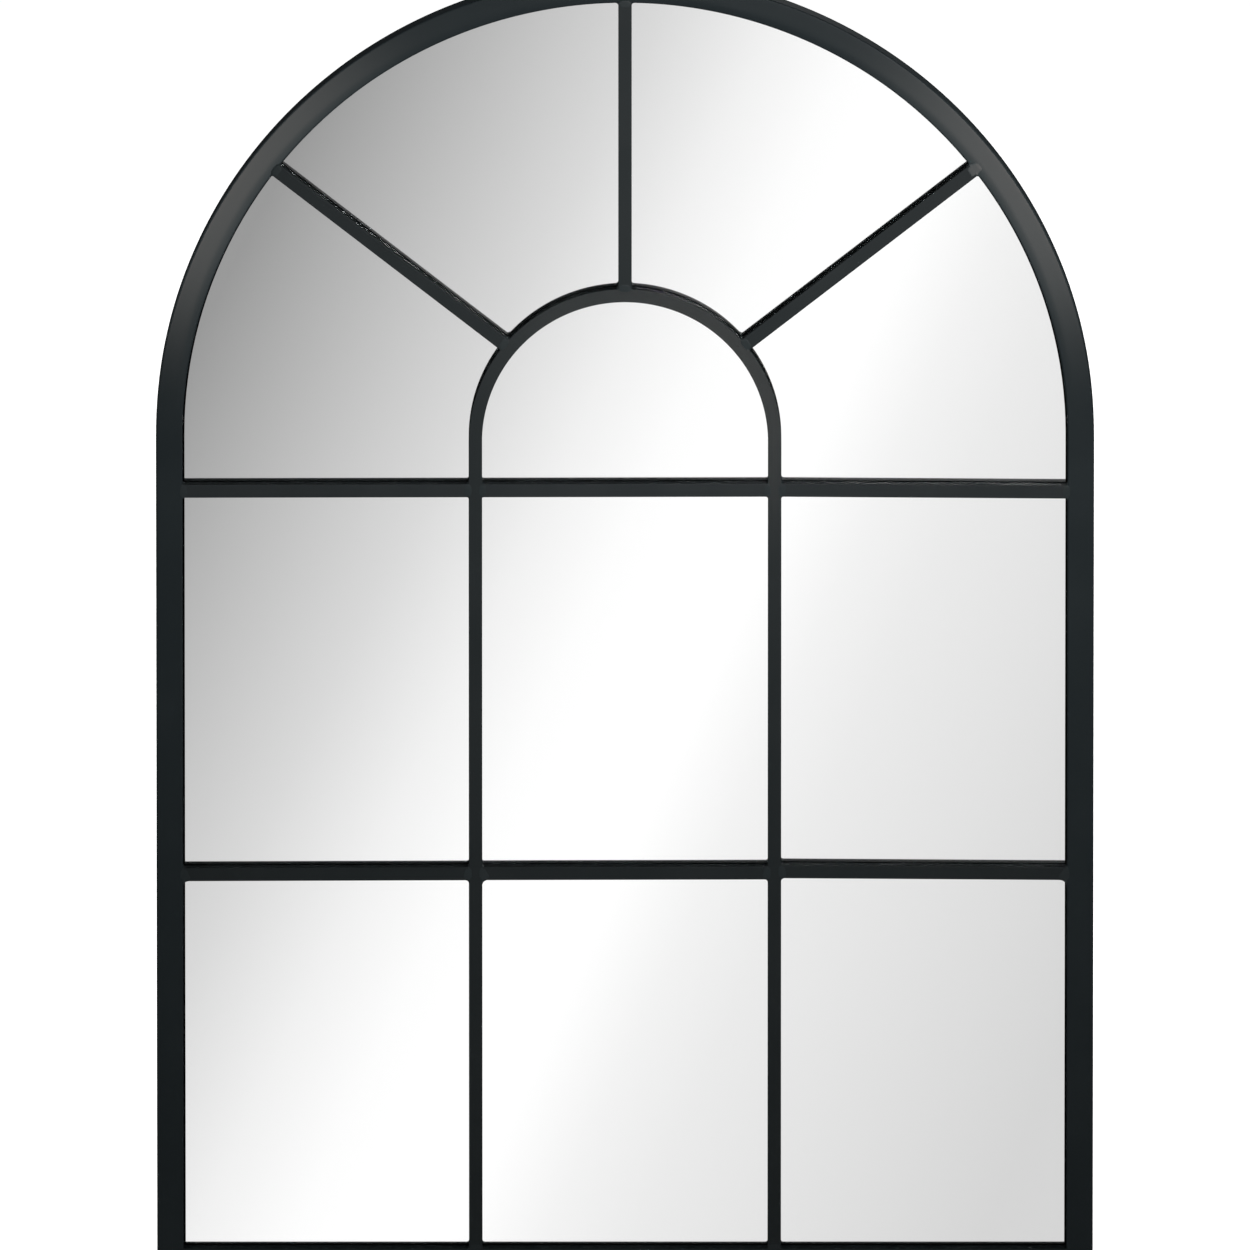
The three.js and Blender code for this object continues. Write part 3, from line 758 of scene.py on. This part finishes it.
for side in (-1, 1):
    label = "left" if side < 0 else "right"
    foot = Vector((side * (small_outer - bar / 2), 0, foot_z + tube))
    weld("weld_foot_" + label, foot, Vector((0, 0, 1)), seed, (1.5, 1.5))
    seed += 1.0

# --- Mirror glass ------------------------------------------------------------------------------
# One sheet of 3 mm float glass cut to the arch, silvered on its back, with its ground edges sealed
# in black. The silver lies behind the bars, so each bar stands clear of its own reflection.
GLASS_STEPS = 96
GLASS_BEVEL = 0.3 * MM
# edges of a sheet sharper than this, in degrees, stay crisp
SHEET_SMOOTH = 20
SILVER = (0.962, 0.962, 0.962)
SILVER_HAZE = 0.006
GLASS_TINT = (0.997, 1.0, 0.998)
GLASS_TINT_PALE = (0.999, 1.0, 0.999)
GLASS_INDEX = 1.52
# black for the glass's sealed edges and for the painted shade on the board's front
SEALER_AND_SLOT_SHADE = (0.006, 0.006, 0.006)
SEALER_AND_SLOT_SHADE_THIN = (0.012, 0.010, 0.009)


def silver_material():
    material, start, place = piece_material("mirror_silver")
    cloud = place.speckle(5, 2)
    settings = {"Base Color": (*SILVER, 1), "Metallic": 1.0, "Roughness": cloud * SILVER_HAZE}
    silver = start.node("BsdfPrincipled", None, settings)
    start.node("OutputMaterial", None, {0: silver})
    return material


def glass_material():
    material, start, place = piece_material("float_glass")
    settings = {
        "Base Color": place.speckle(3, 1).between(GLASS_TINT, GLASS_TINT_PALE),
        "Roughness": 0.0,
        "IOR": GLASS_INDEX,
        "Transmission Weight": 1.0,
    }
    glass = start.node("BsdfPrincipled", None, settings)
    start.node("OutputMaterial", None, {0: glass})
    return material


def sealer_and_slot_shade_material():
    """Black paint on the glass's ground edges, and on the board's front and edges as painted shade in the
    slot round the glass.
    """
    material, start, place = piece_material("black_sealer_and_slot_shade")
    black = place.speckle(160, 3).between(SEALER_AND_SLOT_SHADE, SEALER_AND_SLOT_SHADE_THIN)
    settings = {"Base Color": black, "Roughness": 0.9, "Specular IOR Level": 0.0}
    paint = start.node("BsdfPrincipled", None, settings)
    start.node("OutputMaterial", None, {0: paint})
    return material


def sheet_outline(half, foot, steps):
    """Round-topped outline as (x, z) points."""
    points = [(-half, foot), (half, foot)]
    for step in range(steps + 1):
        angle = math.pi * step / steps
        points.append((half * math.cos(angle), half * math.sin(angle)))
    return points


def sheet_mesh(half, foot, y_front, y_back, bevel, steps):
    """A flat sheet with its front and back edges eased. Its front and then its back come last."""
    rings = (
        (y_front, bevel),
        (y_front + bevel, 0.0),
        (y_back - bevel, 0.0),
        (y_back, bevel),
    )
    vertices = []
    for y, inset in rings:
        for x, z in sheet_outline(half - inset, foot + inset, steps):
            vertices.append(Vector((x, y, z)))
    return vertices, ring_faces(len(vertices) // len(rings), len(rings))


glass_low, glass_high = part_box("mirror_glass")
glass_mesh = sheet_mesh(glass_high.x, glass_low.z, glass_low.y, glass_high.y, GLASS_BEVEL, GLASS_STEPS)
sealer_and_slot_shade = sealer_and_slot_shade_material()
glass_coats = [glass_material(), sealer_and_slot_shade, silver_material()]
glass = mesh_object("mirror_sheet", *glass_mesh, glass_coats, SHEET_SMOOTH)
for face in glass.data.polygons[:-2]:
    face.material_index = 1
glass.data.polygons[-1].material_index = 2
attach(glass, "frame")
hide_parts("mirror_glass")

# --- Backing board -----------------------------------------------------------------------------
# Raw brown fibreboard behind the mirror, held in by the tabs. Its front and its edges are painted
# black as painted shade, so that the slot round the glass looks dark.
BOARD_BROWN = (0.235, 0.142, 0.078)
BOARD_PALE = (0.345, 0.225, 0.135)
BOARD_BEVEL = 0.4 * MM
BOARD_PLAY = 0.02 * MM
NAP_DEPTH = 0.15 * MM


def fibreboard_material():
    material, start, place = piece_material("raw_fibreboard")
    fibre = place.speckle(420, 5, Roughness=0.7)
    cloud = place.speckle(9, 4, Distortion=0.6)
    fleck = place.speckle(1400, 2)
    tone = fibre.smooth(0.3, 0.7) * 0.5 + cloud.smooth(0.3, 0.7) * 0.35 + (fleck > 0.62) * 0.15
    relief = fibre * 0.6 + fleck * 0.4
    nap = start.node("Bump", None, {"Strength": 0.35, "Distance": NAP_DEPTH, "Height": relief})
    settings = {
        "Base Color": tone.between(BOARD_BROWN, BOARD_PALE),
        "Roughness": 0.78 + cloud * 0.15,
        "Specular IOR Level": 0.25,
        "Normal": nap,
    }
    board = start.node("BsdfPrincipled", None, settings)
    start.node("OutputMaterial", None, {0: board})
    return material


fibreboard = fibreboard_material()
board_low, board_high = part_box("backing_board")
board_half = inner_radius - BOARD_PLAY
board_foot = foot_z + tube + BOARD_PLAY
board_mesh = sheet_mesh(board_half, board_foot, board_low.y, board_high.y, BOARD_BEVEL, ARCH_STEPS)
board = mesh_object("fibreboard_back", *board_mesh, [fibreboard, sealer_and_slot_shade], SHEET_SMOOTH)
# painted shade: the board's front and edges take the black
for face in board.data.polygons[:-1]:
    face.material_index = 1
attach(board, "frame")
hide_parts("backing_board")

# --- Tabs --------------------------------------------------------------------------------------
# Small round-ended steel plates that hold the sheets in, each welded to the inside of the frame
# with one short rippled bead before the coat goes on. The plates keep their CAD shape.
BEAD_LENGTH = 15 * MM
BEAD_HALF_WIDTH = 1.7 * MM
BEAD_HALF_HEIGHT = 0.9 * MM
BEAD_INSET = 0.7 * MM
BEAD_RIPPLE = 1.5 * MM
# shares of the full width: what is left at a bead's ends, and what each ripple takes away
BEAD_TIP = 0.15
BEAD_SWELL = 0.12
# the larger, the blunter a bead's ends
BEAD_BLUNTNESS = 6
BEAD_STEPS = 60
ROUND_STEPS = 20


def oval(half_width, half_height, steps=ROUND_STEPS):
    turns = [2 * math.pi * step / steps for step in range(steps)]
    return [Vector((half_width * math.cos(turn), half_height * math.sin(turn))) for turn in turns]


def bead_stations(middle, along, across):
    """Stations of a bead that swells at each ripple and tapers at both ends."""
    stations = []
    for step in range(BEAD_STEPS + 1):
        place = (step / BEAD_STEPS - 0.5) * BEAD_LENGTH
        end = 1 - abs(2 * place / BEAD_LENGTH) ** BEAD_BLUNTNESS
        ripple = abs(math.sin(math.pi * place / BEAD_RIPPLE))
        swell = max(BEAD_TIP, math.sqrt(max(0.0, end))) * (1 - BEAD_SWELL + BEAD_SWELL * ripple)
        stations.append((middle + along * place, across * swell, -FORWARDS * swell))
    return stations


for name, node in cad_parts.items():
    if not name.startswith("tab_") or "screw" in name:
        continue
    node.data.materials.clear()
    node.data.materials.append(frame_paint)
    low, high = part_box(name)
    middle = (low + high) / 2
    if "rail" in name:
        root = Vector((middle.x, 0, foot_z + tube))
        inwards = Vector((0, 0, 1))
    elif "arch" in name:
        inwards = -Vector((middle.x, 0, middle.z)).normalized()
        root = -inwards * inner_radius
    else:
        side = math.copysign(1, middle.x)
        root = Vector((side * inner_radius, 0, middle.z))
        inwards = Vector((-side, 0, 0))
    root = root - inwards * BEAD_INSET + Vector((0, high.y, 0))
    along = Vector((-inwards.z, 0, inwards.x))
    bead = sweep(oval(BEAD_HALF_WIDTH, BEAD_HALF_HEIGHT), bead_stations(root, along, inwards), waver=0)
    # the beads take the welds' coat, with its painted highlight
    steel_piece("weld_" + name, *bead, weld_highlight_paint)

# --- Screws ------------------------------------------------------------------------------------
# Zinc-plated pan-head screws with a cross recess: nine short ones through the tabs into the board
# and a thicker one through each hanger strap into the leg.
ZINC = (0.50, 0.51, 0.53)
ZINC_PALE = (0.66, 0.67, 0.68)
TURN_STEPS = 48
TAB_SCREW = {"shank": 3.0 * MM, "head_height": 2.0 * MM}
HANGER_SCREW = {"shank": 4.0 * MM, "head_height": 2.2 * MM}
RECESS_SPAN = 0.62
RECESS_WIDTH = 0.17
RECESS_DEPTH = 0.62
RECESS_TAPER = 0.55
# how many head heights up the recess's cutter starts, so that it stands out of the head
CUTTER_TOP = 1.2
# the point's length in diameters of the shank
POINT_LENGTH = 0.7
# the head's eased lower edge, and in head heights where its rounding starts and how large it is
HEAD_EDGE = 0.1 * MM
HEAD_STRAIGHT = 0.4
HEAD_ROUND = 0.55
HEAD_STEPS = 8
SCREW_SMOOTH = 30
# each screw is driven to another angle
DRIVE_TURN = 2.4


def zinc_material():
    material, start, place = piece_material("zinc_plate")
    cloud = place.speckle(260, 3)
    metal = cloud.between(ZINC, ZINC_PALE)
    settings = {"Base Color": metal, "Metallic": 1.0, "Roughness": 0.24 + cloud * 0.2}
    plated = start.node("BsdfPrincipled", None, settings)
    start.node("OutputMaterial", None, {0: plated})
    return material


def turned(profile, steps=TURN_STEPS):
    """Vertices and faces of (radius, along) points turned about the Y axis. The first and the last
    point lie on the axis."""
    vertices = [Vector((0, profile[0][1], 0))]
    for radius, along in profile[1:-1]:
        for step in range(steps):
            turn = 2 * math.pi * step / steps
            vertices.append(Vector((radius * math.cos(turn), along, radius * math.sin(turn))))
    vertices.append(Vector((0, profile[-1][1], 0)))
    rings = len(profile) - 2
    faces = []
    for step in range(steps):
        beside = (step + 1) % steps
        faces.append((0, 1 + beside, 1 + step))
        for ring in range(rings - 1):
            base = 1 + ring * steps
            faces.append((base + step, base + beside, base + steps + beside, base + steps + step))
        base = 1 + (rings - 1) * steps
        faces.append((base + step, base + beside, len(vertices) - 1))
    return vertices, faces


def screw_profile(radius, length, shank, head_height):
    """From the point up the shank, round the rim of the pan head and over to its middle. The
    underside of the head is at 0."""
    rim = HEAD_ROUND * head_height
    points = [(0, head_height - length), (shank / 2, POINT_LENGTH * shank + head_height - length)]
    points += [(shank / 2, 0), (radius - HEAD_EDGE, 0), (radius, HEAD_EDGE)]
    for step in range(HEAD_STEPS + 1):
        turn = step / HEAD_STEPS * math.pi / 2
        up = HEAD_STRAIGHT * head_height + rim * math.sin(turn)
        points.append((radius - rim * (1 - math.cos(turn)), up))
    points.append((0, head_height))
    return points


def recess_cutter(radius, head_height):
    """A cross that narrows as it goes down into the head."""
    span = RECESS_SPAN * radius
    width = RECESS_WIDTH * radius
    quarter = [(span, -width), (span, width), (width, width)]
    plan = []
    for turn in range(4):
        across, up = math.cos(turn * math.pi / 2), math.sin(turn * math.pi / 2)
        plan += [(x * across - z * up, x * up + z * across) for x, z in quarter]
    vertices = []
    top = head_height * CUTTER_TOP
    bottom = head_height * (1 - RECESS_DEPTH)
    for along, scale in ((top, 1.0), (bottom, RECESS_TAPER)):
        vertices += [Vector((x * scale, along, z * scale)) for x, z in plan]
    count = len(plan)
    faces = [tuple(range(count)), tuple(count + spot for spot in reversed(range(count)))]
    for spot in range(count):
        beside = (spot + 1) % count
        faces.append((spot, beside, count + beside, count + spot))
    return mesh_object("recess_cutter", vertices, faces, [zinc])


def screw_mesh(radius, length, shank, head_height):
    """One screw with its recess cut, standing at the origin with its head towards +Y."""
    profile = screw_profile(radius, length, shank, head_height)
    blank = mesh_object("screw_blank", *turned(profile), [zinc])
    cutter = recess_cutter(radius, head_height)
    cut = blank.modifiers.new("recess", "BOOLEAN")
    cut.operation = "DIFFERENCE"
    cut.solver = "EXACT"
    cut.object = cutter
    bpy.context.view_layer.update()
    ready = blank.evaluated_get(bpy.context.evaluated_depsgraph_get())
    mesh = bpy.data.meshes.new_from_object(ready)
    mesh.set_sharp_from_angle(angle=math.radians(SCREW_SMOOTH))
    bpy.data.objects.remove(blank)
    bpy.data.objects.remove(cutter)
    return mesh


zinc = zinc_material()
screw_meshes = {}
for number, name in enumerate(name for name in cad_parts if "_screw_" in name):
    kind = TAB_SCREW if name.startswith("tab") else HANGER_SCREW
    low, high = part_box(name)
    if kind["shank"] not in screw_meshes:
        radius = (high.x - low.x) / 2
        screw_meshes[kind["shank"]] = screw_mesh(radius, high.y - low.y, **kind)
    mesh = screw_meshes[kind["shank"]].copy()
    middle = (low + high) / 2
    place = Vector((middle.x, high.y - kind["head_height"], middle.z))
    mesh.transform(Matrix.Translation(place) @ Matrix.Rotation(DRIVE_TURN * number, 4, "Y"))
    screw = bpy.data.objects.new("cross_" + name, mesh)
    bpy.context.scene.collection.objects.link(screw)
    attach(screw, "frame")
    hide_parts(name)

# --- Hangers -----------------------------------------------------------------------------------
# A folded zinc strap on each leg's back holds a bent wire ring, which swings out to go over a
# hook in the wall. The strap is one 12 mm strip rolled round the ring's straight side.
STRAP_LEAF = 1.0 * MM
STRAP_ROLL = 2.1 * MM
STRAP_TUCK = 1.1 * MM
STRAP_CORNER = 4.0 * MM
STRAP_EDGE = 0.3 * MM
# what each face of the strip lies inside its thickness, so that the two leaves don't touch
STRAP_PLAY = 0.01 * MM
LEAF_STEPS = 42
ROLL_STEPS = 30
TUCK_STEPS = 8
RING_CORNER = 3.0 * MM
RING_SPLIT = 0.3 * MM
WIRE_SIDES = 20
TOP_STEPS = 6
BEND_STEPS = 10
BOW_STEPS = 24


def strap_path():
    """Middle of the strip as (back from the leg, up from the ring's axis), from the end at the leg
    up, round the ring and down again on top of itself."""
    length = ring_axis_z - strap_low.z
    near = STRAP_LEAF / 2
    centre = near + STRAP_ROLL
    points = [(near, -length + length * step / LEAF_STEPS) for step in range(LEAF_STEPS)]
    for step in range(ROLL_STEPS + 1):
        turn = math.pi - step / ROLL_STEPS * 1.5 * math.pi
        points.append((centre + STRAP_ROLL * math.cos(turn), STRAP_ROLL * math.sin(turn)))
    tuck = -STRAP_ROLL - STRAP_TUCK
    for step in range(1, TUCK_STEPS + 1):
        turn = math.pi / 2 * (1 + step / TUCK_STEPS)
        points.append((centre + STRAP_TUCK * math.cos(turn), tuck + STRAP_TUCK * math.sin(turn)))
    last = centre - STRAP_TUCK
    down = length + tuck
    points += [(last, tuck - down * step / LEAF_STEPS) for step in range(1, LEAF_STEPS + 1)]
    return points


def with_normals(points):
    """Each point of the strip's or wire's path with the normal there, taken from its neighbours."""
    path = [Vector(point) for point in points]
    pairs = []
    for spot, point in enumerate(path):
        way = (path[min(len(path) - 1, spot + 1)] - path[max(0, spot - 1)]).normalized()
        pairs.append((point, Vector((way.y, -way.x))))
    return pairs


def strap_stations(x):
    half = (strap_high.x - strap_low.x) / 2
    foot = strap_low.z - ring_axis_z
    stations = []
    for (back, up), normal in with_normals(strap_path()):
        room = min(STRAP_CORNER, max(0.0, up - foot))
        width = half - STRAP_CORNER + math.sqrt(STRAP_CORNER**2 - (STRAP_CORNER - room) ** 2)
        origin = Vector((x, strap_low.y + back, ring_axis_z + up))
        across = Vector((width / half, 0, 0))
        stations.append((origin, across, Vector((0, normal.x, normal.y))))
    return stations


def strap_section():
    half = (strap_high.x - strap_low.x) / 2
    thick = STRAP_LEAF / 2 - STRAP_PLAY
    ease = STRAP_EDGE
    corners = [(half, thick - ease), (half - ease, thick), (ease - half, thick), (-half, thick - ease)]
    return corners + [(-out, -ahead) for out, ahead in corners]


def ring_path():
    """Middle of the wire as (across, up) from the ring's axis, starting and ending at the split."""
    half = (ring_high.x - ring_low.x - wire) / 2
    bow = ring_low.z + wire / 2 - ring_axis_z + half
    top = half - RING_CORNER - RING_SPLIT
    points = [(RING_SPLIT + top * step / TOP_STEPS, 0) for step in range(TOP_STEPS)]
    for step in range(BEND_STEPS + 1):
        turn = math.pi / 2 * (1 - step / BEND_STEPS)
        x = half - RING_CORNER + RING_CORNER * math.cos(turn)
        points.append((x, RING_CORNER * (math.sin(turn) - 1)))
    drop = bow + RING_CORNER
    points += [(half, -RING_CORNER + drop * step / BEND_STEPS) for step in range(1, BEND_STEPS)]
    for step in range(BOW_STEPS + 1):
        turn = -math.pi / 2 * step / BOW_STEPS
        points.append((half * math.cos(turn), bow + half * math.sin(turn)))
    mirrored = [(-x, up) for x, up in reversed(points[:-1])]
    return points + mirrored


for side in ("left", "right"):
    strap_low, strap_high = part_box("hanger_strap_" + side)
    ring_low, ring_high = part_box("hanger_ring_" + side)
    wire = ring_high.y - ring_low.y
    ring_axis_z = ring_high.z - wire / 2
    x = (strap_low.x + strap_high.x) / 2
    strip = sweep(strap_section(), strap_stations(x), waver=0)
    strap = mesh_object("strap_" + side, *strip, [zinc])
    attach(strap, "frame")
    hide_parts("hanger_strap_" + side)
    stations = []
    for (across, up), normal in with_normals(ring_path()):
        origin = Vector((x + across, (ring_low.y + ring_high.y) / 2, ring_axis_z + up))
        stations.append((origin, Vector((normal.x, 0, normal.y)), FORWARDS))
    bent_wire = sweep(oval(wire / 2, wire / 2, WIRE_SIDES), stations, waver=0)
    ring = mesh_object("ring_" + side, *bent_wire, [zinc])
    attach(ring, "ring_" + side)
    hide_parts("hanger_ring_" + side)

# --- Bumpers -----------------------------------------------------------------------------------
# Moulded black rubber discs glued to the frame's back, which keep it off the wall and stop it
# from sliding.
RUBBER = (0.018, 0.018, 0.019)
RUBBER_WORN = (0.030, 0.030, 0.031)
BUMPER_RIM = 0.9 * MM
BUMPER_DISH = 0.25 * MM
BUMPER_EDGE = 0.3 * MM
BUMPER_LIP = 0.03 * MM
SKIN_DEPTH = 0.05 * MM
# shares of the radius where the dish starts and where it is down to its floor
DISH_START = 0.7
DISH_FLOOR = 0.6
RIM_STEPS = 8


def rubber_material():
    material, start, place = piece_material("black_rubber")
    grain = place.speckle(1500, 2)
    dust = place.speckle(90, 3)
    colour = dust.smooth(0.4, 0.7).between(RUBBER, RUBBER_WORN)
    skin = start.node("Bump", None, {"Strength": 0.3, "Distance": SKIN_DEPTH, "Height": grain})
    settings = {"Base Color": colour, "Roughness": 0.6 + grain * 0.25, "Normal": skin}
    moulded = start.node("BsdfPrincipled", None, settings)
    start.node("OutputMaterial", None, {0: moulded})
    return material


rubber = rubber_material()
for name in [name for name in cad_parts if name.startswith("bumper")]:
    low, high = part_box(name)
    radius = (high.x - low.x) / 2
    height = high.y - low.y
    profile = [(0, 0), (radius - BUMPER_EDGE, 0), (radius, BUMPER_EDGE)]
    for step in range(RIM_STEPS + 1):
        turn = step / RIM_STEPS * math.pi / 2
        rim = radius - BUMPER_RIM * (1 - math.cos(turn))
        profile.append((rim, height - BUMPER_RIM * (1 - math.sin(turn))))
    profile.append((radius * DISH_START, height - BUMPER_LIP))
    profile.append((radius * DISH_FLOOR, height - BUMPER_DISH))
    profile.append((0, height - BUMPER_DISH))
    middle = (low + high) / 2
    base = Vector((middle.x, low.y, middle.z))
    vertices, faces = turned(profile)
    disc = mesh_object("rubber_" + name, [spot + base for spot in vertices], faces, [rubber])
    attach(disc, "frame")
    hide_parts(name)
